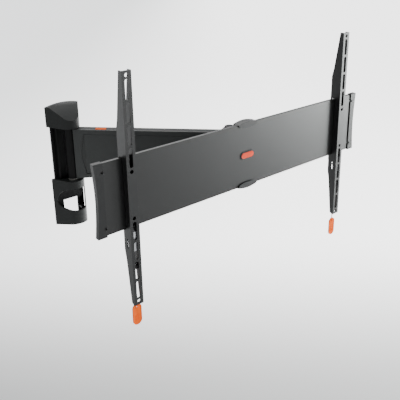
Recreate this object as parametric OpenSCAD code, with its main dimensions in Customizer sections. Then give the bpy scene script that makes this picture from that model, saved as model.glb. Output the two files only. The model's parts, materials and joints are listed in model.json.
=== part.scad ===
// Full motion wall mount for a flat screen: wall column, single swinging arm, swivelling and
// tilting cross bar, and two hook-on screen brackets with spring latches and pull tags.
// Frame: X along the wall, Y into the wall, Z up. The origin lies on the wall face, on the
// column's centre line, at the height of the arm's middle.

/* [Wall column] */
// Distance from the wall face to the arm's pivot axis
column_y = 26; // [25:1:44]
// Width of the plastic covers where they meet the wall
cover_w = 70; // [62:1:72]
// Radius of the covers' rounded front
cover_r = 20; // [19:0.5:30]
// Height of the top cap's upper edge at the wall
cap_top = 98; // [84:1:110]
// Height of the top cap's lower rim
cap_bottom = 54; // [54:1:58]
// Height of the top cap at its front
cap_nose = 16; // [12:1:24]
// Height of the lower cover's upper rim, below the middle
cover_top = -54; // [-56:1:-53]
// Height of the lower edge of the wall unit
cover_bottom = -154; // [-180:1:-150]

/* [Arm] */
// Pivot to pivot length of the arm
arm_len = 310; // [290:5:420]
// Angle between the wall and the arm as the mount is shown
arm_rest = 36; // [30:1:60]
// Height of the arm at the wall column
arm_h_wall = 102; // [96:1:102]
// Height of the arm at the cross bar
arm_h_bar = 70; // [66:1:74]
// Thickness of the arm with its covers
arm_t = 20; // [18:1:22]

/* [Cross bar] */
// Overall length of the bar with its end caps
bar_len = 658; // [600:2:700]
// Height of the bar's front panel
bar_h = 127; // [120:1:130]
// Distance from the swivel axis to the bar's front face
bar_reach = 51; // [51:1:56]
// Length of each end cap
end_cap_len = 17; // [14:1:20]

/* [Screen brackets] */
// Spacing of a bracket's outermost screw holes
vesa_h = 400; // [400:100:400]
// Distance of each bracket from the bar's middle
bracket_x = 267; // [150:1:276]
// Width of a bracket's channel
bracket_w = 18; // [17:0.5:20]
// Height of a bracket
bracket_h = 416; // [414:1:420]
// Distance from the bar's face to the bracket's face
bracket_out = 14; // [13:0.5:16]

/* [Latches] */
// Length of a pull tag
tag_len = 42; // [36:1:48]
// Width of a pull tag
tag_w = 18; // [14:1:20]

/* [Hidden] */
$fn = 64;
eps = 0.01;

// Colours
charcoal = [0.20, 0.20, 0.20];
black = [0.07, 0.07, 0.08];
steel = [0.62, 0.63, 0.64];
zinc = [0.72, 0.73, 0.75];
orange = [0.93, 0.42, 0.18];
coral = [0.92, 0.40, 0.32];
nylon = [0.86, 0.85, 0.80];

// Wall column
plate_w = cover_w - 12;
channel_x = 20.5;
plate_t = 4;
plate_top = cap_top - 9;
plate_bottom = cover_bottom + 4;
channel_t = 3;
channel_d = 14;
pin_r = 5;
pin_gap = 0.05;
ear_t = 5;
ear_r = 14;
ear_top_z = arm_h_wall / 2 + 2.5;
ear_bottom_z = -arm_h_wall / 2 - 12.5;
pin_head_r = 8.5;
pin_head_h = 5;
pivot_washer_t = 1.5;
pivot_nut_h = 6;
nut_across = 17;
shell_t = 2.6;
wall_hole_r = 4.5;
wall_hole_top = 77;
wall_hole_drop = 150;
window_w = 31;
window_top = -104;
window_bottom = -143;
cap_arch = 5;
boss_x = 19.5;
boss_r = 3.4;
boss_len = 12;
cover_gap = 0.6;
floor_rise = 10;
scoop_depth = 42;
visor_rise = 34;
outlet_drop = 13;
cover_split = -103;
screw_z = -126;

// Arm
hub_r = 10;
hub_block = 7.4;
beam_start = 22;
beam_t = arm_t - 6;
skin_t = 3;
recess_d = 2.2;
recess_x = 28;
recess_bulge = 7;
panel_d = 0.8;
bush_r = 7;
bush_flange_r = 9.8;
swivel_pin_r = 6;
swivel_hub_r = 12;
swivel_bush_r = 8;
insert_x = 50;
insert_len = 20;

// Head
head_ear_t = 4;
head_ear_gap = 1.6;
head_plate_y = -28;
head_plate_t = 4;
head_half_w = 47;
tilt_y = -37;
axle_r = 5;
axle_half = 58;
lug_t = 4;
lug_r = 7.6;

// Bar
sheet = 2;
return_d = 7;
panel_half = bar_len / 2 - end_cap_len;
back_plate_t = 4;
back_half_w = 78;
back_half_h = 48;
cap_screw_z = 49;
cap_screw_x = 2.3;
cap_proud = 2.4;

// Brackets
web_t = 2.5;
flange_t = 2;
hook_back = 11;
hook_z = bar_h / 2 + 0.5;
slot_w = 7;
hole_r = 3.4;
slot_pitch = 37.4;
slot_bridge = 3.6;
inner_hole_z = 41.4;
latch_travel = 8;
latch_w = 12.6;
latch_bottom = -104;
seat_z = -132;
pin_y = -3;
pin_z = -86;
cord_r = 0.9;
cord_y = -5;
spring_r = 4.4;
tag_t = 2.5;
tag_hang_left = -211;
tag_hang_right = -222;

// ---- shared shapes ----

// Outline with a straight side at the wall and a round front: width w, front radius r about
// a centre that lies c in front of the wall.
function d_outline(w, r, c, steps = 24) =
  let (d = norm([w / 2, c]), lean = atan2(c, w / 2), tip = acos(r / d),
       first = 180 - lean + tip, last = 360 + lean - tip)
  concat([[w / 2, 0], [-w / 2, 0]],
         [for (i = [0:steps]) let (a = first + (last - first) * i / steps) [r * cos(a), -c + r * sin(a)]]);

module d_block(w, r, c, z0, z1) {
  translate([0, 0, z0]) linear_extrude(z1 - z0) polygon(d_outline(w, r, c));
}

// Side profile in Y and Z, drawn as a polygon and made w wide about X = 0
module side_profile(points, w) {
  rotate([90, 0, 90]) translate([0, 0, -w / 2]) linear_extrude(w) polygon(points);
}

module pill(length, width, h) {
  linear_extrude(h) union() {
    square([length - width, width], center = true);
    for (s = [-1, 1]) translate([s * (length - width) / 2, 0]) circle(d = width);
  }
}

module on_arm() { translate([0, -column_y, 0]) rotate([0, 0, -arm_rest]) children(); }

module at_swivel() {
  translate([arm_len * cos(arm_rest), -column_y - arm_len * sin(arm_rest), 0]) children();
}

module at_bar() { at_swivel() translate([0, -bar_reach, 0]) children(); }

module hex_nut(across, h, bore) {
  difference() {
    cylinder(h = h, d = across / cos(30), $fn = 6);
    translate([0, 0, -eps]) cylinder(h = h + 2 * eps, r = bore);
  }
}

// ---- wall column ----

module wall_ear(z) {
  translate([0, 0, z]) linear_extrude(ear_t) polygon(d_outline(plate_w - 8, ear_r, column_y));
}

module wall_plate() {
  color(black) difference() {
    union() {
      translate([-plate_w / 2, -plate_t, plate_bottom]) cube([plate_w, plate_t, plate_top - plate_bottom]);
      for (s = [-1, 1])
        translate([s * channel_x - channel_t / 2, -channel_d, ear_bottom_z])
          cube([channel_t, channel_d, ear_top_z + ear_t - ear_bottom_z]);
      wall_ear(ear_top_z);
      wall_ear(ear_bottom_z);
    }
    translate([0, -column_y, ear_bottom_z - 1]) cylinder(h = 2 * arm_h_wall, r = pin_r + pin_gap);
    for (z = [wall_hole_top, wall_hole_top - wall_hole_drop])
      translate([0, eps, z]) rotate([90, 0, 0]) cylinder(h = plate_t + 2 * eps, r = wall_hole_r);
    for (s = [-1, 1])
      translate([s * boss_x, eps, screw_z]) rotate([90, 0, 0]) cylinder(h = plate_t + 2 * eps, r = 1.6);
    translate([-window_w / 2, -plate_t - 1, window_bottom])
      cube([window_w, plate_t + 2, window_top - window_bottom]);
  }
}

module pivot_pin() {
  pin_bottom = ear_bottom_z - pivot_washer_t - pivot_nut_h - 2;
  color(steel) translate([0, -column_y, 0]) {
    translate([0, 0, pin_bottom]) cylinder(h = ear_top_z + ear_t - pin_bottom, r = pin_r);
    translate([0, 0, ear_top_z + ear_t]) cylinder(h = pin_head_h, r = pin_head_r);
    translate([0, 0, ear_top_z + ear_t + pin_head_h]) cylinder(h = 1.5, r1 = pin_head_r, r2 = pin_head_r - 2);
  }
}

module pivot_washer() {
  color(zinc) translate([0, -column_y, ear_bottom_z - pivot_washer_t]) difference() {
    cylinder(h = pivot_washer_t, r = ear_r - 3);
    translate([0, 0, -eps]) cylinder(h = pivot_washer_t + 2 * eps, r = pin_r + 0.2);
  }
}

module pivot_nut() {
  color(zinc) translate([0, -column_y, ear_bottom_z - pivot_washer_t - pivot_nut_h])
    hex_nut(nut_across, pivot_nut_h, pin_r + 0.02);
}

module cap_solid(inset, floor_z) {
  front = -column_y - cover_r;
  top = cap_top - inset;
  nose = cap_bottom + cap_nose - inset;
  intersection() {
    d_block(cover_w - 2 * inset, cover_r - inset, column_y, floor_z, cap_top + 1);
    side_profile([[eps, floor_z], [eps, top], [front * 0.35, top - (top - nose) * 0.28],
                  [front * 0.7, top - (top - nose) * 0.62], [front - 1, nose - 0.4], [front - 1, floor_z]],
                 cover_w + 10);
    arch_r = (cover_w * cover_w / 4 + cap_arch * cap_arch) / (2 * cap_arch);
    translate([0, 1, cap_top - inset - arch_r]) rotate([90, 0, 0])
      cylinder(h = column_y + cover_r + 2, r = arch_r, $fn = 180);
  }
}

module top_cap() {
  color(charcoal) difference() {
    cap_solid(0, cap_bottom);
    cap_solid(shell_t, cap_bottom - 1);
    translate([-plate_w / 2 - 0.3, -plate_t - 0.3, cap_bottom - 1])
      cube([plate_w + 0.6, plate_t + 1, plate_top - cap_bottom + 1.3]);
  }
}

// Upper part of the lower cover, cut away below by the scoop that lets the cables out
module bottom_cover() {
  color(charcoal) difference() {
    d_block(cover_w, cover_r, column_y, cover_split, cover_top);
    d_block(cover_w - 2 * shell_t, cover_r - shell_t, column_y, cover_split - 1, cover_top - shell_t);
    translate([0, -column_y, cover_top - shell_t - 1]) cylinder(h = shell_t + 2, r = bush_flange_r + 1.2);
    translate([-channel_x - channel_t, -channel_d - 0.3, cover_top - shell_t - 1])
      cube([2 * (channel_x + channel_t), channel_d + 1, shell_t + 2]);
    translate([-plate_w / 2 - 0.3, -plate_t - 0.3, cover_split - 1])
      cube([plate_w + 0.6, plate_t + 1, cover_top - cover_split + 2]);
    scoop(visor_rise);
  }
}

// Elliptical cut across the front where the cables leave the column
module scoop(rise) {
  front = -column_y - cover_r - 3;
  side_profile([for (i = [0:71]) [front + scoop_depth * cos(5 * i), cover_split + rise * sin(5 * i)]],
               cover_w + 20);
}

// Lower shell of the cable outlet, open to the column above and to the window behind
module cable_shell() {
  difference() {
    d_block(cover_w, cover_r, column_y, cover_bottom, cover_split - cover_gap);
    difference() {
      d_block(cover_w - 2 * shell_t, cover_r - shell_t, column_y, cover_bottom, cover_split + 1);
      below_floor(shell_t);
    }
    scoop(outlet_drop);
    translate([-plate_w / 2 - 0.3, -plate_t - 0.3, plate_bottom - 0.5])
      cube([plate_w + 0.6, plate_t + 1, column_y * 3]);
    below_floor(0);
  }
}

// Everything under the sloping bottom of the column, raised by t
module below_floor(t) {
  front = -column_y - cover_r - 4;
  side_profile([[front, cover_bottom - 1], [front, cover_bottom + floor_rise + t], [1, cover_bottom + t],
                [1, cover_bottom - 1]], cover_w + 10);
}

// Screw boss and the rib that ties it to the side wall
module cover_boss(s) {
  translate([s * boss_x, -plate_t - 0.5, screw_z]) rotate([90, 0, 0]) cylinder(h = boss_len, r = boss_r);
  translate([s * (boss_x + 2.4) - 2.4, -plate_t - 0.5 - boss_len, screw_z - 1]) cube([4.8, boss_len, 2]);
}

module cable_cover() {
  color(charcoal) difference() {
    union() {
      cable_shell();
      for (s = [-1, 1]) cover_boss(s);
    }
    for (s = [-1, 1])
      translate([s * boss_x, -plate_t, screw_z]) rotate([90, 0, 0]) cylinder(h = boss_len + 4, r = 1.7);
  }
}

module cover_screws() {
  color(black) for (s = [-1, 1])
    translate([s * boss_x, 0, screw_z]) rotate([90, 0, 0]) {
      cylinder(h = plate_t + boss_len + 1, r = 1.55);
      translate([0, 0, plate_t + boss_len + 0.6]) cylinder(h = 2, r = 2.5);
    }
}

// ---- arm ----

function arm_top(x) = arm_h_wall / 2 - (arm_h_wall - arm_h_bar) / 2 * x / arm_len;

// Side outline of the arm between two distances from the column, set in by m top and bottom
function arm_side(x0, x1, m = 0) =
  [[x0, -arm_top(x0) + m], [x1, -arm_top(x1) + m], [x1, arm_top(x1) - m], [x0, arm_top(x0) - m]];

module arm_slab(points, y0, y1) {
  translate([0, y1, 0]) rotate([90, 0, 0]) linear_extrude(y1 - y0) polygon(points);
}

module arm_hub() {
  half = arm_h_wall / 2 - 0.2;
  color(black) on_arm() difference() {
    union() {
      translate([0, 0, -half]) cylinder(h = 2 * half, r = hub_r);
      arm_slab(arm_side(0, beam_start, 0.5), -beam_t / 2, beam_t / 2);
    }
    translate([0, 0, -half - 1]) cylinder(h = 2 * half + 2, r = bush_r);
  }
}

module flange_bush(h, flange_h, r_in, r_out, r_flange) {
  difference() {
    union() {
      cylinder(h = flange_h, r = r_flange);
      cylinder(h = flange_h + h, r = r_out);
    }
    translate([0, 0, -1]) cylinder(h = flange_h + h + 2, r = r_in);
  }
}

module upper_bush() {
  color(nylon) on_arm() translate([0, 0, arm_h_wall / 2 + 1.9]) rotate([180, 0, 0])
    flange_bush(24, 2, pin_r + pin_gap, bush_r - 0.02, bush_flange_r);
}

module lower_bush() {
  flange_h = 7;
  color(nylon) on_arm() translate([0, 0, -arm_h_wall / 2 - flange_h + 0.1])
    flange_bush(24, flange_h, pin_r + pin_gap, bush_r - 0.02, bush_flange_r);
}

module insert_block(grow) {
  x = insert_x + insert_len / 2;
  lean = atan((arm_h_wall - arm_h_bar) / 2 / arm_len);
  translate([x, 0, arm_top(x)]) rotate([0, lean, 0]) translate([-insert_len / 2 - grow, -beam_t / 2 + 1 - grow, -2 - grow])
    cube([insert_len + 2 * grow, beam_t - 2 + 2 * grow, 2.5 + 2 * grow]);
}

module arm_beam() {
  end = arm_len - beam_start;
  wall = 2.5;
  color(black) on_arm() difference() {
    arm_slab(arm_side(beam_start + 0.05, end - 0.05), -beam_t / 2, beam_t / 2);
    arm_slab(arm_side(beam_start + 6, end - 6, 4), -beam_t / 2 + wall, beam_t / 2 + 1);
    insert_block(0.1);
    for (x = [80, 150, 220])
      translate([x, 0, 0]) rotate([90, 0, 0]) cylinder(h = 2 * beam_t, r = 14, center = true);
  }
}

// Recess outline with its left end bulging outwards
function recess_side(x0, x1, bulge, top, bottom) =
  concat([for (i = [0:12]) let (t = i / 12, z = (arm_top(x0) - top) - t * (2 * arm_top(x0) - top - bottom))
            [x0 - bulge * sin(180 * t), z]],
         [[x1, -arm_top(x1) + bottom], [x1, arm_top(x1) - top]]);

module arm_side_cover() {
  end = arm_len - swivel_hub_r - 1;
  gap = 0.6;
  color(charcoal) on_arm() {
    difference() {
      arm_slab(arm_side(hub_block + 0.3, end), -arm_t / 2, -beam_t / 2 - 0.02);
      arm_slab(recess_side(recess_x, end - 14, recess_bulge, 9, 8), -arm_t / 2 - 1, -arm_t / 2 + recess_d);
    }
    arm_slab(arm_side(recess_x + gap, end - 14 - gap, 9 + gap), -arm_t / 2 + panel_d, -beam_t / 2 - 0.02);
  }
}

module arm_cable_cover() {
  end = arm_len - swivel_hub_r - 1;
  color(charcoal) on_arm() difference() {
    arm_slab(arm_side(hub_block + 0.3, end), beam_t / 2 + 0.02, arm_t / 2);
    arm_slab(recess_side(recess_x, end - 14, recess_bulge, 9, 8), arm_t / 2 - recess_d, arm_t / 2 + 1);
    for (x = [60, 240]) translate([x, 0, 0]) rotate([90, 0, 0]) translate([0, 0, -arm_t]) pill_hole();
  }
}

module pill_hole() { pill(28, 12, arm_t); }

module arm_top_insert() { color(orange) on_arm() insert_block(0); }

module arm_swivel_hub() {
  half = arm_h_bar / 2 - 0.2;
  color(black) on_arm() translate([arm_len, 0, 0]) difference() {
    union() {
      translate([0, 0, -half]) cylinder(h = 2 * half, r = swivel_hub_r);
      translate([-beam_start, -beam_t / 2, -half]) cube([beam_start, beam_t, 2 * half]);
    }
    translate([0, 0, -half - 1]) cylinder(h = 2 * half + 2, r = swivel_bush_r);
  }
}

module swivel_bushes() {
  color(nylon) at_swivel() for (turn = [0, 180]) rotate([turn, 0, 0])
    translate([0, 0, -arm_h_bar / 2 - 1.3])
      flange_bush(16, 1.5, swivel_pin_r + pin_gap, swivel_bush_r - 0.02, 11);
}

// ---- head ----

head_z = arm_h_bar / 2 + head_ear_gap;

module swivel_pin() {
  bottom = -head_z - head_ear_t - 8;
  color(steel) at_swivel() {
    translate([0, 0, bottom]) cylinder(h = head_z + head_ear_t - bottom, r = swivel_pin_r);
    translate([0, 0, head_z + head_ear_t]) cylinder(h = 5, r = 10);
  }
}

module swivel_nut() {
  color(zinc) at_swivel() translate([0, 0, -head_z - head_ear_t - 6.5]) hex_nut(18, 6.5, swivel_pin_r + 0.02);
}

module head_bracket() {
  color(black) at_swivel() difference() {
    union() {
      for (s = [0, 1]) mirror([0, 0, s]) translate([0, 0, head_z]) {
        cylinder(h = head_ear_t, r = 14);
        translate([-14, head_plate_y, 0]) cube([28, -head_plate_y, head_ear_t]);
      }
      translate([-head_half_w, head_plate_y, -head_z - head_ear_t])
        cube([2 * head_half_w, head_plate_t, 2 * (head_z + head_ear_t)]);
      for (s = [-1, 1]) translate([s * (head_half_w - lug_t / 2) - lug_t / 2, tilt_y, 0]) {
        translate([0, 0, -lug_r]) cube([lug_t, head_plate_y - tilt_y + 1, 2 * lug_r]);
        rotate([0, 90, 0]) cylinder(h = lug_t, r = lug_r);
      }
    }
    translate([0, 0, -head_z - head_ear_t - 1]) cylinder(h = 2 * (head_z + head_ear_t + 1), r = swivel_pin_r + pin_gap);
    translate([-head_half_w - 1, tilt_y, 0]) rotate([0, 90, 0]) cylinder(h = 2 * head_half_w + 2, r = axle_r + pin_gap);
  }
}

module tilt_axle() {
  color(steel) at_swivel() translate([-axle_half, tilt_y, 0]) rotate([0, 90, 0])
    cylinder(h = 2 * axle_half, r = axle_r);
}

module tilt_washers() {
  color(zinc) at_swivel() for (s = [-1, 1])
    translate([s * (head_half_w + lug_t + 1.6), tilt_y, 0]) rotate([0, 90, 0]) difference() {
      cylinder(h = 1, r = lug_r - 0.1, center = true);
      cylinder(h = 3, r = axle_r + 0.1, center = true);
    }
}

module tilt_nuts() {
  color(zinc) at_swivel() for (s = [-1, 1])
    translate([s * (head_half_w + lug_t + 2.2), tilt_y, 0]) rotate([0, s * 90, 0])
      hex_nut(14, 4.5, axle_r + 0.02);
}

// ---- cross bar ----

module bar_panel() {
  color(charcoal) at_bar() difference() {
    translate([-panel_half, 0, -bar_h / 2]) cube([2 * panel_half, return_d, bar_h]);
    translate([-panel_half - 1, sheet, -bar_h / 2 + sheet])
      cube([2 * panel_half + 2, return_d, bar_h - 2 * sheet]);
    translate([0, -eps, 0]) rotate([-90, 0, 0]) cylinder(h = sheet + 2 * eps, r = 5);
  }
}

module bar_back_plate() {
  color(black) at_bar() difference() {
    translate([-back_half_w, sheet, -back_half_h]) cube([2 * back_half_w, back_plate_t, 2 * back_half_h]);
    for (x = [-60, 60], z = [-36, 36])
      translate([x, 0, z]) rotate([-90, 0, 0]) cylinder(h = 10, r = 2.5);
    rotate([-90, 0, 0]) cylinder(h = 10, r = 5);
  }
}

module plate_rivets() {
  color(charcoal) at_bar() for (x = [-60, 60], z = [-36, 36])
    translate([x, sheet + 0.02, z]) rotate([-90, 0, 0]) {
      cylinder(h = back_plate_t, r = 2.48);
      translate([0, 0, back_plate_t]) cylinder(h = 1.6, r1 = 4.5, r2 = 3);
    }
}

module tilt_lugs() {
  back = bar_reach + tilt_y - sheet - back_plate_t;
  color(black) at_bar() for (s = [-1, 1])
    translate([s * (head_half_w + 0.6 + lug_t / 2) - lug_t / 2, sheet + back_plate_t, 0]) difference() {
      union() {
        translate([0, 0, -13]) cube([lug_t, back, 26]);
        translate([0, back, 0]) rotate([0, 90, 0]) cylinder(h = lug_t, r = lug_r);
      }
      translate([-1, back, 0]) rotate([0, 90, 0]) cylinder(h = lug_t + 2, r = axle_r + pin_gap);
    }
}

// End cap: a shallow tray whose outer edge curves inwards at mid height
function cap_face(h, len, dip) =
  concat([[0, h / 2], [0, -h / 2]],
         [for (i = [0:16]) let (t = i / 16) [len - dip * sin(180 * t), -h / 2 + h * t]]);

module end_cap(side) {
  h = bar_h + 3;
  color(charcoal) at_bar() mirror([side < 0 ? 1 : 0, 0, 0]) translate([panel_half + 0.05, return_d, 0])
    rotate([90, 0, 0]) difference() {
      linear_extrude(return_d + cap_proud) polygon(cap_face(h, end_cap_len - 0.05, 4));
      translate([-1, 0, -1]) linear_extrude(return_d - 1.2) polygon(cap_face(h - 5, end_cap_len - 2.4, 4));
      for (z = [-cap_screw_z, cap_screw_z]) translate([cap_screw_x, z, -1]) {
        cylinder(h = 20, r = 1.7);
        translate([0, 0, return_d + 0.4]) cylinder(h = 5, r = 2.6);
      }
    }
}

module end_cap_left() { end_cap(-1); }

module end_cap_right() { end_cap(1); }

module end_cap_screws() {
  color(black) at_bar() for (s = [-1, 1], z = [-cap_screw_z, cap_screw_z])
    translate([s * (panel_half + cap_screw_x + 0.05), 0, z]) rotate([-90, 0, 0]) {
      translate([0, 0, 0.4]) cylinder(h = 6, r = 1.6);
      translate([0, 0, -0.4]) cylinder(h = 0.9, r = 2.45);
    }
}

// Clip that wraps over an edge of the bar at its middle, with an arched outer edge
function clip_face(w, up, down) =
  concat([for (i = [0:16]) let (t = i / 16) [-w / 2 + w * t, 0.3 + up * sin(180 * t)]],
         [for (i = [0:16]) let (t = i / 16) [w / 2 - w * t, -down * pow(sin(180 * t), 0.35) - 0.3]]);

module centre_clip(turn) {
  w = 49;
  depth = 14;
  color(charcoal) at_bar() rotate([0, turn, 0]) translate([0, 0, bar_h / 2]) difference() {
    translate([0, depth, 0]) rotate([90, 0, 0]) linear_extrude(depth + 2.6) polygon(clip_face(w, 3.8, 8));
    translate([-w / 2 - 1, -0.05, -20]) cube([w + 2, return_d + 0.1, 20.05]);
    translate([-w / 2 - 1, return_d, -20]) cube([w + 2, depth, 20 - 3]);
  }
}

module centre_clip_top() { centre_clip(0); }

module centre_clip_bottom() { centre_clip(180); }

module badge_bezel() {
  color(black) at_bar() translate([0, -0.02, 0]) rotate([90, 0, 0]) {
    difference() {
      pill(36, 16, 1.4);
      translate([0, 0, 0.8]) pill(31.4, 11.6, 2);
    }
    translate([0, 0, -sheet - 2]) cylinder(h = sheet + 2.5, r = 4.9);
  }
}

module badge() {
  color(coral) at_bar() translate([0, -0.84, 0]) rotate([90, 0, 0]) pill(31, 11.2, 1.2);
}

// ---- screen brackets ----

// Flange outline in Y (0 at the bar's face, negative towards the screen) and Z
flange_side = [
  [-bracket_out, bracket_h / 2 - 1], [-bracket_out + 9, bracket_h / 2 - 1], [hook_back - 4, 128],
  [hook_back, 112], [hook_back, hook_z - 6], [return_d + 0.8, hook_z - 6],
  [return_d + 0.8, hook_z + 0.2], [-0.6, hook_z + 0.2], [-0.6, -hook_z - 0.2], [hook_back - 3, -hook_z - 2],
  [hook_back - 3, -104], [hook_back - 7, -124], [-bracket_out + 9, -bracket_h / 2 + 4],
  [-bracket_out + 4, -bracket_h / 2 + 1], [-bracket_out, -bracket_h / 2 + 1]
];

module web_slot(z, length) {
  translate([0, -bracket_out - 1, z]) rotate([-90, 0, 0]) rotate([0, 0, 90]) pill(length, slot_w, web_t + 2);
}

module screen_bracket() {
  half_w = bracket_w / 2;
  color(charcoal) difference() {
    union() {
      translate([-half_w, -bracket_out, -bracket_h / 2 + 1]) cube([bracket_w, web_t, bracket_h - 2]);
      for (s = [-1, 1]) translate([s * (half_w - flange_t / 2), 0, 0]) side_profile(flange_side, flange_t);
    }
    for (s = [-1, 1]) {
      translate([0, 0, s * vesa_h / 2]) rotate([90, 0, 0]) cylinder(h = 60, r = hole_r, center = true);
      translate([0, 0, s * inner_hole_z]) rotate([90, 0, 0]) cylinder(h = 60, r = hole_r, center = true);
      for (i = [0:3]) {
        outer = vesa_h / 2 - 6 - i * slot_pitch;
        web_slot(s * (outer - (slot_pitch - slot_bridge) / 2), slot_pitch - slot_bridge);
      }
    }
    translate([-bracket_w, pin_y, pin_z - latch_travel / 2]) rotate([0, 90, 0]) pill(latch_travel + 10, 3.6, 2 * bracket_w);
  }
}

module at_bracket(side) { at_bar() translate([side * bracket_x, 0, 0]) children(); }

module bracket_left() { at_bracket(-1) screen_bracket(); }

module bracket_right() { at_bracket(1) screen_bracket(); }

// ---- latches, springs and pull cords ----

module latch() {
  y0 = -bracket_out + web_t + 0.5;
  color(steel) difference() {
    union() {
      translate([-latch_w / 2, y0, latch_bottom]) cube([latch_w, 8.6, 30]);
      side_profile([[y0, -75], [y0, -67.5], [-0.8, -67.5], [return_d + 4, -72], [return_d + 4, -80], [-3, -80]],
                   latch_w);
      side_profile([[return_d + 0.8, -76], [return_d + 0.8, -58], [return_d + 1.6, -56.5],
                    [return_d + 4, -61], [return_d + 4, -76]], latch_w);
    }
    translate([-latch_w, pin_y, pin_z]) rotate([0, 90, 0]) cylinder(h = 2 * latch_w, r = 1.62);
  }
}

module latch_left() { at_bracket(-1) latch(); }

module latch_right() { at_bracket(1) latch(); }

module latch_pin() {
  color(steel) translate([-bracket_w / 2 - 0.6, pin_y, pin_z]) rotate([0, 90, 0])
    cylinder(h = bracket_w + 1.2, r = 1.6);
}

module latch_pin_left() { at_bracket(-1) latch_pin(); }

module latch_pin_right() { at_bracket(1) latch_pin(); }

// Small folded seat between the flanges that the spring stands on
module spring_seat() {
  inner = bracket_w - 2 * flange_t - 0.1;
  color(black) translate([-inner / 2, -bracket_out + web_t + 0.05, seat_z - 6]) difference() {
    cube([inner, 11, 6]);
    translate([1.2, 1.2, -1]) cube([inner - 2.4, 11, 5.4]);
    translate([inner / 2, cord_y + bracket_out - web_t - 0.05, -1]) cylinder(h = 8, r = 2);
  }
}

module spring_seat_left() { at_bracket(-1) spring_seat(); }

module spring_seat_right() { at_bracket(1) spring_seat(); }

module latch_spring() {
  color(steel) translate([0, cord_y, seat_z + 0.1]) difference() {
    cylinder(h = latch_bottom - seat_z - 0.2, r = spring_r);
    translate([0, 0, -1]) cylinder(h = 40, r = spring_r - 0.9);
  }
}

module latch_spring_left() { at_bracket(-1) latch_spring(); }

module latch_spring_right() { at_bracket(1) latch_spring(); }

// Route of a pull cord below the latch: X, Y and Z steps from the bracket's middle at the bar face
cord_route_left = [[0, -5, -104], [0, -5, -118], [0, -5, -134], [0, -5, -150], [0.3, -5, -166],
                   [0.3, -5, -182], [0, -5, -198], [0, -5, -206], [0, -5, -211]];
cord_route_right = [[0, -5, -104], [0, -5, -118], [0, -5, -134], [0, -5, -150], [-0.3, -5, -166],
                    [-0.3, -5, -182], [0, -5, -198], [0, -5, -212], [0, -5, -222]];

// Round tube swept along points that run mostly downwards
module hanging_tube(route, r, sides = 8) {
  n = len(route);
  points = [for (p = route, k = [0:sides - 1]) p + [r * cos(360 * k / sides), r * sin(360 * k / sides), 0]];
  walls = [for (i = [0:n - 2], k = [0:sides - 1]) let (m = (k + 1) % sides)
             [i * sides + k, i * sides + m, (i + 1) * sides + m, (i + 1) * sides + k]];
  top = [for (k = [sides - 1:-1:0]) k];
  bottom = [for (k = [0:sides - 1]) (n - 1) * sides + k];
  polyhedron(points, concat(walls, [top], [bottom]));
}

module pull_cord_left() { color(orange) at_bracket(-1) hanging_tube(cord_route_left, cord_r); }

module pull_cord_right() { color(orange) at_bracket(1) hanging_tube(cord_route_right, cord_r); }

module pull_tag(top_z) {
  color(orange) translate([0, cord_y + tag_t / 2, top_z - tag_len / 2]) rotate([90, 0, 0]) difference() {
    rotate([0, 0, 90]) pill(tag_len, tag_w, tag_t);
    translate([0, tag_len / 2 - 6, -1]) cylinder(h = tag_t + 2, r = 1.6);
  }
}

module pull_tag_left() { at_bracket(-1) pull_tag(tag_hang_left); }

module pull_tag_right() { at_bracket(1) pull_tag(tag_hang_right); }

wall_plate();
pivot_pin();
pivot_washer();
pivot_nut();
top_cap();
bottom_cover();
cable_cover();
cover_screws();
arm_hub();
upper_bush();
lower_bush();
arm_beam();
arm_side_cover();
arm_cable_cover();
arm_top_insert();
arm_swivel_hub();
swivel_bushes();
swivel_pin();
swivel_nut();
head_bracket();
tilt_axle();
tilt_washers();
tilt_nuts();
bar_panel();
bar_back_plate();
tilt_lugs();
plate_rivets();
end_cap_left();
end_cap_right();
end_cap_screws();
centre_clip_top();
centre_clip_bottom();
badge_bezel();
badge();
bracket_left();
bracket_right();
latch_left();
latch_right();
latch_pin_left();
latch_pin_right();
spring_seat_left();
spring_seat_right();
latch_spring_left();
latch_spring_right();
pull_cord_left();
pull_cord_right();
pull_tag_left();
pull_tag_right();
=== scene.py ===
import json
import math

import bmesh
import bpy
from mathutils import Matrix, Vector


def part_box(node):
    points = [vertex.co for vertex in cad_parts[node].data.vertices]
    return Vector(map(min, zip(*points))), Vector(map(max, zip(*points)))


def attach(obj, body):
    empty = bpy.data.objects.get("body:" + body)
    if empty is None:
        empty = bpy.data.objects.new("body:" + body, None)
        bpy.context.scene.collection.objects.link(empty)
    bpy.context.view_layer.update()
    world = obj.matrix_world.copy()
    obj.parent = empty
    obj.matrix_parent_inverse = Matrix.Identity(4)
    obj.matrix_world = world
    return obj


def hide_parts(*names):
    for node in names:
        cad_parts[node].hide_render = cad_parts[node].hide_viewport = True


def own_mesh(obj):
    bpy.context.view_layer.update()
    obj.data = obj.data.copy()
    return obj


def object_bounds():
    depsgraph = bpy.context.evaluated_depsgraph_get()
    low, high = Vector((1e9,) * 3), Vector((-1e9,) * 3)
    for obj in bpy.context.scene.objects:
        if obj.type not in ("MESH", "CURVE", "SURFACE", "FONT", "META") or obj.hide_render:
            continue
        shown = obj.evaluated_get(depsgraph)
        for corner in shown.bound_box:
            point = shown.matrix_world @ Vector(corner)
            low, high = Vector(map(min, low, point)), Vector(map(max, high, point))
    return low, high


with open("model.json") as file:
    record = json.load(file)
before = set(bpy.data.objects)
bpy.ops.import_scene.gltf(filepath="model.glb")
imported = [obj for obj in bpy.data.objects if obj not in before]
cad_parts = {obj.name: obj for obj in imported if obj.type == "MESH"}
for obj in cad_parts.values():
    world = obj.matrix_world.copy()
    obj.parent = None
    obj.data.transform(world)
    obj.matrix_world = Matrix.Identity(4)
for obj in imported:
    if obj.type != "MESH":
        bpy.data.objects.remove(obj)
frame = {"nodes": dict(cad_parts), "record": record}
CAD_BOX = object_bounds()
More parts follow.
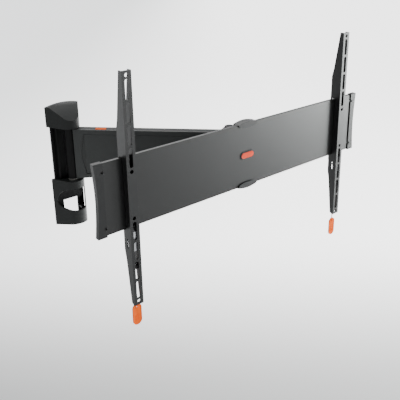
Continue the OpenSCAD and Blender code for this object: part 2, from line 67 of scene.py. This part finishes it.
NODES = frame["nodes"]
RECORD = frame["record"]
MM = 0.001

# ---- places and sizes taken from the frame ----

BAR_LO, BAR_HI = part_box("bar_panel")
BAR_MID = (BAR_LO + BAR_HI) / 2
BAR_FACE = BAR_LO.y
SIDES = ("left", "right")

# ---- chosen values: metres, degrees, and light power in watts ----

CAMERA_LENS = 52.12
CAMERA_SHIFT = (-0.03, -0.17)
CAMERA_PLACE = (-0.4671, -1.0163, 0.3967)
CAMERA_YAW, CAMERA_PITCH, CAMERA_ROLL = 39.79, 18.59, 0.54

FLOOR_SIZE = 30.0
FLOOR_DROP = 0.35
# painted light on the floor: how strongly it glows, and its shaded grey and lit white colours
FLOOR_PAINTED_GLOW = 2.9
FLOOR_PAINTED_SHADE_GREY = (0.55, 0.56, 0.565, 1)
FLOOR_PAINTED_LIGHT_WHITE = (0.96, 0.96, 0.96, 1)
FLOOR_ROUGHNESS = 0.8
FLOOR_ACROSS = (0.77, -0.64, 0.0)
FLOOR_AWAY = (0.64, 0.77, 0.0)
WORLD_COLOUR = (0.90, 0.905, 0.91, 1)
WORLD_DARK, WORLD_BRIGHT = 0.42, 1.7

RELIEF_DEPTH = 0.0002
COAT_ROUGHNESS = 0.3
RUB_SLOT = 1
ROUND_SEGMENTS = 3
ROUND_ANGLE = 28.0
ROUND_WIDTH = 0.0005
ROUND_WIDTHS = {
    "bar_panel": 0.0014,
    "bracket_left": 0.0007,
    "bracket_right": 0.0007,
    "arm_side_cover": 0.0009,
    "arm_cable_cover": 0.0009,
    "end_cap_left": 0.0009,
    "end_cap_right": 0.0009,
    "top_cap": 0.0012,
    "bottom_cover": 0.0009,
    "cable_cover": 0.0009,
    "centre_clip_top": 0.0010,
    "centre_clip_bottom": 0.0010,
    "pull_tag_left": 0.0006,
    "pull_tag_right": 0.0006,
    "badge": 0.0004,
    "badge_bezel": 0.0004,
}

SPRING_WIRE = 0.0005
SPRING_COILS = 6.5
RIVET_HEAD_R = 0.0045
RIVET_SHANK_R = 0.0024
RIVET_HEAD_H = 0.0016
RIVET_RIM_H = 0.0011
TAG_RIM = 0.0016
TAG_SINK = 0.0005
RIB_COUNT = 5
RIB_STEP = 0.0026
RIB_START = 0.009
RIB_WIDTH, RIB_HIGH, RIB_DEEP = 0.009, 0.0011, TAG_SINK * 0.9
CORD_DIAMETER = 0.0018


# ---- camera first, then the cords ----

def make_camera():
    data = bpy.data.cameras.new("camera")
    data.sensor_width = 36.0
    data.lens = CAMERA_LENS
    data.shift_x, data.shift_y = CAMERA_SHIFT
    data.clip_start = 0.05
    data.clip_end = 60.0
    camera = bpy.data.objects.new("camera", data)
    bpy.context.scene.collection.objects.link(camera)
    yaw, pitch, roll = (math.radians(turn) for turn in (CAMERA_YAW, CAMERA_PITCH, CAMERA_ROLL))
    camera.location = CAMERA_PLACE
    look = Matrix.Rotation(-yaw, 4, "Z") @ Matrix.Rotation(math.pi / 2 - pitch, 4, "X")
    camera.matrix_world = Matrix.Translation(camera.location) @ look @ Matrix.Rotation(-roll, 4, "Z")
    bpy.context.scene.camera = camera


# ---- shader groups ----

class Graph:
    """Small helper that adds and joins shader nodes."""

    def __init__(self, tree):
        self.tree = tree
        self.nodes = tree.nodes

    def add(self, kind, values=None, **settings):
        made = self.nodes.new(kind)
        for key, value in settings.items():
            setattr(made, key, value)
        for key, value in (values or {}).items():
            if isinstance(value, bpy.types.NodeSocket):
                self.tree.links.new(value, made.inputs[key])
            else:
                made.inputs[key].default_value = value
        return made

    def link(self, a, b):
        self.tree.links.new(a, b)


def new_group(name, inputs, outputs):
    tree = bpy.data.node_groups.new(name, "ShaderNodeTree")
    for label, kind, value in inputs:
        socket = tree.interface.new_socket(label, in_out="INPUT", socket_type=kind)
        if value is not None:
            socket.default_value = value
    for label, kind in outputs:
        tree.interface.new_socket(label, in_out="OUTPUT", socket_type=kind)
    graph = Graph(tree)
    start = graph.add("NodeGroupInput")
    end = graph.add("NodeGroupOutput")
    return tree, graph, start, end


FLOAT = "NodeSocketFloat"
COLOR = "NodeSocketColor"


def make_grain_group():
    """Fine moulded or powder-coat grain: a height, and a roughness that changes with it."""
    tree, g, start, end = new_group(
        "grain",
        [("Scale", FLOAT, 900.0), ("Coarse Scale", FLOAT, 60.0),
         ("Roughness", FLOAT, 0.5), ("Spread", FLOAT, 0.1)],
        [("Height", FLOAT), ("Roughness", FLOAT)],
    )
    place = g.add("ShaderNodeTexCoord").outputs["Object"]
    fine = g.add("ShaderNodeTexNoise", {"Vector": place, "Scale": start.outputs["Scale"], "Detail": 3.0})
    cells = g.add("ShaderNodeTexVoronoi", {"Vector": place, "Scale": start.outputs["Scale"]})
    coarse = g.add("ShaderNodeTexNoise",
                   {"Vector": place, "Scale": start.outputs["Coarse Scale"], "Detail": 4.0})
    height = g.add("ShaderNodeMath", {0: fine.outputs["Fac"], 1: cells.outputs["Distance"]}, operation="ADD")
    g.link(height.outputs[0], end.inputs["Height"])
    centred = g.add("ShaderNodeMath", {0: coarse.outputs["Fac"], 1: 0.5}, operation="SUBTRACT")
    scaled = g.add("ShaderNodeMath", {0: centred.outputs[0], 1: start.outputs["Spread"]},
                   operation="MULTIPLY")
    total = g.add("ShaderNodeMath", {0: scaled.outputs[0], 1: start.outputs["Roughness"]}, operation="ADD")
    g.link(total.outputs[0], end.inputs["Roughness"])
    return tree


def make_tone_group():
    """Slow change of colour over a surface, with rubbed edges in a lighter colour."""
    tree, g, start, end = new_group(
        "tone",
        [("Base", COLOR, (0.1, 0.1, 0.1, 1)), ("Worn", COLOR, (0.3, 0.3, 0.3, 1)),
         ("Change", FLOAT, 0.12), ("Edge", FLOAT, 0.4), ("Scale", FLOAT, 9.0)],
        [("Color", COLOR), ("Mask", FLOAT)],
    )
    place = g.add("ShaderNodeTexCoord").outputs["Object"]
    slow = g.add("ShaderNodeTexNoise", {"Vector": place, "Scale": start.outputs["Scale"], "Detail": 5.0})
    shade = g.add("ShaderNodeMapRange", {"Value": slow.outputs["Fac"], "From Min": 0.3, "From Max": 0.7})
    low = g.add("ShaderNodeMath", {0: 1.0, 1: start.outputs["Change"]}, operation="SUBTRACT")
    high = g.add("ShaderNodeMath", {0: 1.0, 1: start.outputs["Change"]}, operation="ADD")
    g.link(low.outputs[0], shade.inputs["To Min"])
    g.link(high.outputs[0], shade.inputs["To Max"])
    tinted = g.add("ShaderNodeVectorMath", {0: start.outputs["Base"]}, operation="SCALE")
    g.link(shade.outputs[0], tinted.inputs["Scale"])
    sharp = g.add("ShaderNodeAttribute", attribute_name="rub")
    fleck = g.add("ShaderNodeTexNoise", {"Vector": place, "Scale": 220.0, "Detail": 6.0})
    broken = g.add("ShaderNodeMapRange", {"Value": fleck.outputs["Fac"], "From Min": 0.42, "From Max": 0.62})
    rubbed = g.add("ShaderNodeMath", {0: sharp.outputs["Fac"], 1: broken.outputs[0]}, operation="MULTIPLY")
    mask = g.add("ShaderNodeMath", {0: rubbed.outputs[0], 1: start.outputs["Edge"]}, operation="MULTIPLY")
    mixed = g.add("ShaderNodeMix", {"Factor": mask.outputs[0]}, data_type="RGBA")
    g.link(tinted.outputs["Vector"], mixed.inputs[6])
    g.link(start.outputs["Worn"], mixed.inputs[7])
    g.link(mixed.outputs[2], end.inputs["Color"])
    g.link(mask.outputs[0], end.inputs["Mask"])
    return tree


GROUPS = {}


def use_group(g, name):
    if name not in GROUPS:
        GROUPS[name] = {"grain": make_grain_group, "tone": make_tone_group}[name]()
    made = g.add("ShaderNodeGroup")
    made.node_tree = GROUPS[name]
    return made


def finish_material(name, base, worn, rough, spread=0.1, metallic=0.0, grain=900.0, bump=0.08,
                    change=0.1, edge=0.4, coat=0.0, specular=0.5, scale=9.0):
    """One of the object's finishes: toned colour, rubbed edges, and grain in roughness and bump."""
    material = bpy.data.materials.new(name)
    material.use_nodes = True
    g = Graph(material.node_tree)
    shader = next(n for n in g.nodes if n.type == "BSDF_PRINCIPLED")
    tone = use_group(g, "tone")
    tone.inputs["Base"].default_value = (*base, 1)
    tone.inputs["Worn"].default_value = (*worn, 1)
    tone.inputs["Change"].default_value = change
    tone.inputs["Edge"].default_value = edge
    tone.inputs["Scale"].default_value = scale
    skin = use_group(g, "grain")
    skin.inputs["Scale"].default_value = grain
    skin.inputs["Roughness"].default_value = rough
    skin.inputs["Spread"].default_value = spread
    g.link(tone.outputs["Color"], shader.inputs["Base Color"])
    g.link(skin.outputs["Roughness"], shader.inputs["Roughness"])
    relief = g.add("ShaderNodeBump",
                   {"Strength": bump, "Distance": RELIEF_DEPTH, "Height": skin.outputs["Height"]})
    g.link(relief.outputs["Normal"], shader.inputs["Normal"])
    shader.inputs["Metallic"].default_value = metallic
    shader.inputs["Coat Weight"].default_value = coat
    shader.inputs["Coat Roughness"].default_value = COAT_ROUGHNESS
    shader.inputs["Specular IOR Level"].default_value = specular
    return material


def make_materials():
    """One finish for each material slot: name, base colour, rubbed colour, roughness, and the rest."""
    return {
        "column_steel": finish_material(
            "black powder coat", (0.004, 0.004, 0.0045), (0.12, 0.12, 0.125), 0.50,
            grain=2600, bump=0.15, change=0.12, edge=0.3, specular=0.22),
        "pin_steel": finish_material(
            "turned steel", (0.42, 0.43, 0.44), (0.6, 0.6, 0.6), 0.30,
            metallic=1.0, grain=900, bump=0.05, edge=0.3),
        "zinc": finish_material(
            "zinc plate", (0.50, 0.51, 0.53), (0.7, 0.7, 0.7), 0.36,
            metallic=1.0, grain=700, bump=0.08, change=0.16, edge=0.3, scale=60),
        "cover_plastic": finish_material(
            "moulded cover plastic", (0.021, 0.0228, 0.0225), (0.07, 0.075, 0.074), 0.42,
            grain=2600, bump=0.15, change=0.08, edge=0.3, specular=0.3),
        "arm_plastic": finish_material(
            "arm cover plastic", (0.052, 0.0555, 0.055), (0.10, 0.104, 0.103), 0.38,
            grain=2600, bump=0.12, change=0.08, edge=0.6, specular=0.32),
        "bar_paint": finish_material(
            "bar powder coat", (0.011, 0.0113, 0.0116), (0.20, 0.20, 0.20), 0.33,
            spread=0.03, grain=2600, bump=0.08, change=0.04, edge=0.35, specular=0.42),
        "bracket_paint": finish_material(
            "bracket powder coat", (0.010, 0.0103, 0.011), (0.16, 0.16, 0.16), 0.36,
            spread=0.05, grain=2600, bump=0.1, change=0.06, edge=0.9, specular=0.4),
        "cap_plastic": finish_material(
            "end cap plastic", (0.010, 0.0103, 0.011), (0.07, 0.07, 0.07), 0.40,
            grain=2600, bump=0.12, change=0.07, edge=0.4, specular=0.34),
        "bush_nylon": finish_material(
            "grey nylon", (0.16, 0.158, 0.15), (0.3, 0.3, 0.28), 0.5,
            grain=900, bump=0.08, change=0.05, edge=0.2),
        "orange_plastic": finish_material(
            "orange tag plastic", (0.92, 0.13, 0.008), (0.95, 0.25, 0.05), 0.55,
            grain=1500, bump=0.1, change=0.06, edge=0.2, scale=30, specular=0.06),
        "badge_coral": finish_material(
            "coral badge", (0.88, 0.06, 0.014), (0.9, 0.3, 0.2), 0.5,
            grain=1200, bump=0.05, change=0.07, edge=0.25, coat=0.05, scale=60, specular=0.15),
        "cord": finish_material(
            "braided cord", (0.85, 0.10, 0.01), (0.9, 0.4, 0.2), 0.8,
            grain=2400, bump=0.4, change=0.15, edge=0.2, scale=300, specular=0.1),
    }


# ---- mesh helpers ----

def link_mesh(name, mesh):
    made = bpy.data.objects.new(name, mesh)
    bpy.context.scene.collection.objects.link(made)
    return made


def from_bmesh(name, bm):
    mesh = bpy.data.meshes.new(name)
    bm.to_mesh(mesh)
    bm.free()
    return link_mesh(name, mesh)


def put_material(piece, material):
    piece.data.materials.clear()
    piece.data.materials.append(material)


def smooth_by_angle(piece, degrees=35.0):
    """Smooth shading that stops at hard edges and where a rounded edge meets its flat."""
    bm = bmesh.new()
    bm.from_mesh(piece.data)
    rub = bm.faces.layers.float.get("rub")
    limit = math.radians(degrees)
    for face in bm.faces:
        face.smooth = True
    for edge in bm.edges:
        if len(edge.link_faces) == 2:
            a, b = edge.link_faces
            same = rub is None or a[rub] == b[rub]
            edge.smooth = same and edge.calc_face_angle(0.0) < limit
    bm.to_mesh(piece.data)
    bm.free()


def apply_modifiers(piece):
    graph = bpy.context.evaluated_depsgraph_get()
    mesh = bpy.data.meshes.new_from_object(piece.evaluated_get(graph))
    piece.modifiers.clear()
    old = piece.data
    piece.data = mesh
    bpy.data.meshes.remove(old)


def mark_rub(piece):
    """Faces made by the rounding are the ones that rub bare: they are marked in the face attribute rub."""
    mesh = piece.data
    flags = [1.0 if face.material_index == RUB_SLOT else 0.0 for face in mesh.polygons]
    rub = mesh.attributes.new("rub", "FLOAT", "FACE")
    rub.data.foreach_set("value", flags)
    for face in mesh.polygons:
        face.material_index = 0


def rounded_copy(node, width, sink=0.0):
    """A copy of a CAD node with its hard edges rounded. Sink lowers its front and back inside a rim."""
    bm = bmesh.new()
    bm.from_mesh(NODES[node].data)
    bmesh.ops.remove_doubles(bm, verts=bm.verts, dist=2e-6)
    bmesh.ops.dissolve_limit(bm, angle_limit=math.radians(1.0), verts=bm.verts, edges=bm.edges)
    if sink:
        flats = [face for face in bm.faces if abs(face.normal.y) > 0.99]
        bmesh.ops.inset_region(bm, faces=flats, thickness=TAG_RIM, depth=0.0, use_even_offset=True)
        for face in flats:
            inwards = Vector((0, -math.copysign(sink, face.normal.y), 0))
            bmesh.ops.translate(bm, verts=list(face.verts), vec=inwards)
    for face in bm.faces:
        face.material_index = 0
    piece = from_bmesh(node + "_finished", bm)
    for _ in range(RUB_SLOT + 1):
        piece.data.materials.append(None)
    bevel = piece.modifiers.new("rounding", "BEVEL")
    bevel.width = width
    bevel.segments = ROUND_SEGMENTS
    bevel.limit_method = "ANGLE"
    bevel.angle_limit = math.radians(ROUND_ANGLE)
    bevel.use_clamp_overlap = True
    bevel.miter_outer = "MITER_ARC"
    bevel.material = RUB_SLOT
    apply_modifiers(piece)
    mark_rub(piece)
    smooth_by_angle(piece)
    return piece


# ---- lights and floor ----

def area_light(name, place, aim, size, power, colour=(1, 1, 1)):
    data = bpy.data.lights.new(name, "AREA")
    data.shape = "RECTANGLE"
    data.size, data.size_y = size
    data.energy = power
    data.color = colour
    lamp = bpy.data.objects.new(name, data)
    bpy.context.scene.collection.objects.link(lamp)
    lamp.location = place
    lamp.rotation_euler = (Vector(aim) - Vector(place)).to_track_quat("-Z", "Y").to_euler()


def painted_light_floor_material():
    """Pale paper sweep with painted light and shade: its colour is painted from shaded grey on the left to
    lit white on the right, and it glows with painted light, brighter behind the object and to the right,
    dimmer in front.
    """
    material = bpy.data.materials.new("floor with painted light")
    material.use_nodes = True
    g = Graph(material.node_tree)
    shader = next(n for n in g.nodes if n.type == "BSDF_PRINCIPLED")
    place = g.add("ShaderNodeTexCoord").outputs["Object"]
    across = g.add("ShaderNodeVectorMath", {0: place, 1: FLOOR_ACROSS}, operation="DOT_PRODUCT")
    away = g.add("ShaderNodeVectorMath", {0: place, 1: FLOOR_AWAY}, operation="DOT_PRODUCT")
    split = g.add("ShaderNodeSeparateXYZ", {"Vector": place})

    def ramp(value, low, high):
        spans = {"Value": value, "From Min": low, "From Max": high}
        return g.add("ShaderNodeMapRange", spans, interpolation_type="SMOOTHSTEP").outputs[0]

    # painted shade and light: the floor colour goes from shaded grey on the left of the view to lit white on
    # the right
    side = ramp(across.outputs["Value"], -1.3, 0.8)
    depth = ramp(away.outputs["Value"], -0.1, 0.8)
    right = ramp(split.outputs["X"], 0.9, 2.4)
    either = g.add("ShaderNodeMath", {0: depth, 1: right}, operation="MAXIMUM")
    # painted glow: the floor shines as a light, more far behind the object and to the right
    strength = g.add("ShaderNodeMath", {0: either.outputs[0], 1: FLOOR_PAINTED_GLOW}, operation="MULTIPLY")
    mixed = g.add("ShaderNodeMix", {"Factor": side}, data_type="RGBA")
    mixed.inputs[6].default_value = FLOOR_PAINTED_SHADE_GREY
    mixed.inputs[7].default_value = FLOOR_PAINTED_LIGHT_WHITE
    g.link(mixed.outputs[2], shader.inputs["Base Color"])
    g.link(mixed.outputs[2], shader.inputs["Emission Color"])
    g.link(strength.outputs[0], shader.inputs["Emission Strength"])
    shader.inputs["Roughness"].default_value = FLOOR_ROUGHNESS
    return material


def make_world():
    """Dark on the left and bright on the right."""
    world = bpy.data.worlds.new("studio")
    bpy.context.scene.world = world
    world.use_nodes = True
    g = Graph(world.node_tree)
    background = world.node_tree.nodes["Background"]
    place = g.add("ShaderNodeTexCoord").outputs["Generated"]
    split = g.add("ShaderNodeSeparateXYZ", {"Vector": place})
    shade = g.add("ShaderNodeMapRange", {"Value": split.outputs["X"], "From Min": 0.0, "From Max": 0.95,
                                         "To Min": WORLD_DARK, "To Max": WORLD_BRIGHT})
    g.link(shade.outputs[0], background.inputs["Strength"])
    background.inputs["Color"].default_value = WORLD_COLOUR


def make_studio():
    make_world()
    bpy.ops.mesh.primitive_plane_add(size=FLOOR_SIZE, location=(0, 0, CAD_BOX[0].z - FLOOR_DROP))
    floor = bpy.context.object
    floor.name = "floor"
    floor.data.materials.append(painted_light_floor_material())
    aim = tuple(BAR_MID)
    area_light("right_panel", (2.2, -1.35, 0.0), (BAR_HI.x, BAR_FACE, 0), (1.1, 1.1), 58,
               (0.955, 1.0, 0.985))
    area_light("overhead", (0.3, -0.2, 2.3), aim, (2.6, 2.0), 9, (0.97, 1.0, 0.99))
    area_light("left_fill", (-1.9, -0.6, 0.5), aim, (1.0, 1.4), 4, (0.96, 1.0, 0.985))
    area_light("back_rim", (0.9, 1.6, 1.4), aim, (1.6, 1.0), 16)


# ---- carried-over CAD nodes ----

def finish_nodes(materials):
    bodies = RECORD["behaviour"]["bodies"]
    body_of = {node: body for body, members in bodies.items() for node in members}
    slot_of = {s["node"]: s["material_slot"] for s in RECORD["subparts"]}
    for node in sorted(NODES):
        material = materials[slot_of[node]]
        if node.startswith(("pull_cord", "latch_spring", "plate_rivets")):
            continue
        sink = TAG_SINK if node.startswith("pull_tag") else 0.0
        piece = rounded_copy(node, ROUND_WIDTHS.get(node, ROUND_WIDTH), sink=sink)
        put_material(piece, material)
        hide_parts(node)
        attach(piece, body_of[node])


# ---- pieces made by geometry nodes ----

class Tree(Graph):
    """Geometry node tree with named inputs and one geometry output."""

    def __init__(self, name, inputs):
        tree = bpy.data.node_groups.new(name, "GeometryNodeTree")
        tree.is_modifier = True
        super().__init__(tree)
        tree.interface.new_socket("Geometry", in_out="INPUT", socket_type="NodeSocketGeometry")
        self.keys = {}
        for label, kind, value in inputs:
            socket = tree.interface.new_socket(label, in_out="INPUT", socket_type=kind)
            if value is not None:
                socket.default_value = value
            self.keys[label] = socket.identifier
        tree.interface.new_socket("Geometry", in_out="OUTPUT", socket_type="NodeSocketGeometry")
        self.start = self.add("NodeGroupInput")
        self.end = self.add("NodeGroupOutput")

    def close(self, geometry):
        real = self.add("GeometryNodeRealizeInstances", {"Geometry": geometry})
        paint = self.add("GeometryNodeSetMaterial", {"Geometry": real.outputs[0],
                                                     "Material": self.start.outputs["Material"]})
        self.link(paint.outputs[0], self.end.inputs[0])


INT = "NodeSocketInt"
MATERIAL = "NodeSocketMaterial"


def make_spring_tree():
    t = Tree("spring coil", [("Coils", FLOAT, 7.0), ("Radius", FLOAT, 0.0038), ("Wire", FLOAT, 0.0005),
                             ("Height", FLOAT, 0.02), ("Material", MATERIAL, None)])
    coil = t.add("GeometryNodeCurveSpiral", {"Resolution": 40, "Rotations": t.start.outputs["Coils"],
                                             "Start Radius": t.start.outputs["Radius"],
                                             "End Radius": t.start.outputs["Radius"],
                                             "Height": t.start.outputs["Height"]})
    ring = t.add("GeometryNodeCurvePrimitiveCircle", {"Resolution": 10, "Radius": t.start.outputs["Wire"]})
    tube = t.add("GeometryNodeCurveToMesh", {"Curve": coil.outputs[0], "Profile Curve": ring.outputs[0],
                                             "Fill Caps": True})
    t.close(tube.outputs[0])
    return t


def make_row_tree():
    """Repeats the object's own mesh in a row along its Z axis."""
    t = Tree("row of parts", [("Count", INT, 4), ("Step", FLOAT, 0.003), ("Material", MATERIAL, None)])
    step = t.add("ShaderNodeCombineXYZ", {"Z": t.start.outputs["Step"]})
    line = t.add("GeometryNodeMeshLine", {"Count": t.start.outputs["Count"], "Offset": step.outputs[0]})
    many = t.add("GeometryNodeInstanceOnPoints", {"Points": line.outputs[0], "Instance": t.start.outputs[0]})
    t.close(many.outputs[0])
    return t


def make_grid_tree():
    """Repeats the object's own mesh at the corners of a rectangle in X and Z."""
    t = Tree("corner set", [("Width", FLOAT, 0.12), ("Height", FLOAT, 0.07), ("Material", MATERIAL, None)])
    grid = t.add("GeometryNodeMeshGrid", {"Size X": t.start.outputs["Width"],
                                          "Size Y": t.start.outputs["Height"],
                                          "Vertices X": 2, "Vertices Y": 2})
    turned = t.add("GeometryNodeTransform", {"Geometry": grid.outputs[0], "Rotation": (math.pi / 2, 0, 0)})
    many = t.add("GeometryNodeInstanceOnPoints",
                 {"Points": turned.outputs[0], "Instance": t.start.outputs[0]})
    t.close(many.outputs[0])
    return t


def grow(name, tree, place, values, unit=None):
    """Runs a tree on a unit mesh and leaves a plain mesh standing at place."""
    piece = link_mesh(name, unit or bpy.data.meshes.new(name + "_unit"))
    modifier = piece.modifiers.new("nodes", "NODES")
    modifier.node_group = tree.tree
    for label, value in values.items():
        modifier[tree.keys[label]] = value
    apply_modifiers(piece)
    piece.data.transform(Matrix.Translation(place))
    bm = bmesh.new()
    bm.from_mesh(piece.data)
    bmesh.ops.remove_doubles(bm, verts=bm.verts, dist=1e-6)
    bmesh.ops.recalc_face_normals(bm, faces=bm.faces)
    bm.to_mesh(piece.data)
    bm.free()
    smooth_by_angle(piece)
    return piece


def lathe(profile, steps=32):
    """Closed solid turned about the Y axis from points (distance from the axis, y)."""
    bm = bmesh.new()
    rings = []
    for radius, y in profile:
        if radius < 1e-7:
            rings.append([bm.verts.new((0, y, 0))])
        else:
            rings.append([bm.verts.new((radius * math.cos(2 * math.pi * i / steps), y,
                                        radius * math.sin(2 * math.pi * i / steps))) for i in range(steps)])
    for a, b in zip(rings, rings[1:]):
        for i in range(steps):
            j = (i + 1) % steps
            if len(a) == 1:
                bm.faces.new((a[0], b[i], b[j]))
            elif len(b) == 1:
                bm.faces.new((a[i], b[0], a[j]))
            else:
                bm.faces.new((a[i], b[i], b[j], a[j]))
    bmesh.ops.recalc_face_normals(bm, faces=bm.faces)
    mesh = bpy.data.meshes.new("turned")
    bm.to_mesh(mesh)
    bm.free()
    return mesh


def make_springs(materials):
    tree = make_spring_tree()
    for side in SIDES:
        node = "latch_spring_" + side
        lo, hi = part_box(node)
        middle = (lo + hi) / 2
        radius = (hi.x - lo.x) / 2 - SPRING_WIRE
        height = hi.z - lo.z - 2 * SPRING_WIRE
        piece = grow(node + "_coil", tree, Vector((middle.x, middle.y, lo.z + SPRING_WIRE)),
                     {"Coils": SPRING_COILS, "Radius": radius, "Wire": SPRING_WIRE, "Height": height,
                      "Material": materials["pin_steel"]})
        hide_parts(node)
        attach(piece, "bracket_" + side)
        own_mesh(piece)


def make_rivets(materials):
    lo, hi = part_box("plate_rivets")
    radius = RIVET_HEAD_R
    deep = hi.y - lo.y
    unit = lathe([(0, 0), (RIVET_SHANK_R, 0), (RIVET_SHANK_R, deep - RIVET_HEAD_H),
                  (radius, deep - RIVET_HEAD_H), (radius, deep - RIVET_RIM_H),
                  (radius * 0.82, deep - 0.0004), (radius * 0.45, deep - 0.00005), (0, deep)])
    middle = (lo + hi) / 2
    piece = grow("plate_rivets_set", make_grid_tree(), Vector((middle.x, lo.y, middle.z)),
                 {"Width": hi.x - lo.x - 2 * radius, "Height": hi.z - lo.z - 2 * radius,
                  "Material": materials["column_steel"]}, unit)
    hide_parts("plate_rivets")
    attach(piece, "bar")


def rib_mesh(width, high, deep):
    """Low bar across a tag with sloping ends."""
    bm = bmesh.new()
    outline = [(-width / 2, 0), (-width / 2 + deep, -deep), (width / 2 - deep, -deep), (width / 2, 0)]
    ends = [[bm.verts.new((x, y, z)) for x, y in outline] for z in (-high / 2, high / 2)]
    bm.faces.new(ends[0])
    bm.faces.new(ends[1][::-1])
    for i in range(4):
        j = (i + 1) % 4
        bm.faces.new((ends[0][i], ends[0][j], ends[1][j], ends[1][i]))
    bmesh.ops.recalc_face_normals(bm, faces=bm.faces)
    mesh = bpy.data.meshes.new("rib")
    bm.to_mesh(mesh)
    bm.free()
    return mesh


def make_tag_ribs(materials):
    tree = make_row_tree()
    made = {}
    for side in SIDES:
        lo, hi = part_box("pull_tag_" + side)
        place = Vector(((lo.x + hi.x) / 2, lo.y + TAG_SINK, lo.z + RIB_START))
        piece = grow("tag_ribs_" + side, tree, place,
                     {"Count": RIB_COUNT, "Step": RIB_STEP, "Material": materials["orange_plastic"]},
                     rib_mesh(RIB_WIDTH, RIB_HIGH, RIB_DEEP))
        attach(piece, "latch_" + side)
        made[side] = piece
    return made


# ---- cords ----

# Millimetres from the middle of the bracket: x and y from the bar's face, z from the frame's origin.
CORD_STEPS = {
    "left": [(0, -5, -104), (0, -5, -118), (0, -5, -134), (0, -5, -150), (0.3, -5, -166), (0.3, -5, -182),
             (0, -5, -198), (0, -5, -206), (0, -5, -211)],
    "right": [(0, -5, -104), (0, -5, -118), (0, -5, -134), (0, -5, -150), (-0.3, -5, -166), (-0.3, -5, -182),
              (0, -5, -198), (0, -5, -212), (0, -5, -222)],
}


def make_cord(side, material):
    lo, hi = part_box("bracket_" + side)
    middle = Vector(((lo.x + hi.x) / 2, BAR_FACE, 0))
    points = [middle + Vector(step) * MM for step in CORD_STEPS[side]]
    curve = bpy.data.curves.new("pull_cord_" + side + "_laid", "CURVE")
    curve.dimensions = "3D"
    curve.bevel_depth = CORD_DIAMETER / 2
    curve.bevel_resolution = 3
    curve.use_fill_caps = True
    spline = curve.splines.new("POLY")
    spline.points.add(len(points) - 1)
    for target, point in zip(spline.points, points):
        target.co = (*point, 1)
    piece = bpy.data.objects.new("pull_cord_" + side + "_laid", curve)
    bpy.context.scene.collection.objects.link(piece)
    curve.materials.append(material)
    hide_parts("pull_cord_" + side)
    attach(piece, "latch_" + side)
    length = sum((b - a).length for a, b in zip(points, points[1:]))
    return piece, points[0], length


def declare_cords(materials, ribs):
    for side in SIDES:
        piece, start, length = make_cord(side, materials["cord"])


make_camera()
MATERIALS = make_materials()
make_studio()
finish_nodes(MATERIALS)
make_springs(MATERIALS)
make_rivets(MATERIALS)
declare_cords(MATERIALS, make_tag_ribs(MATERIALS))
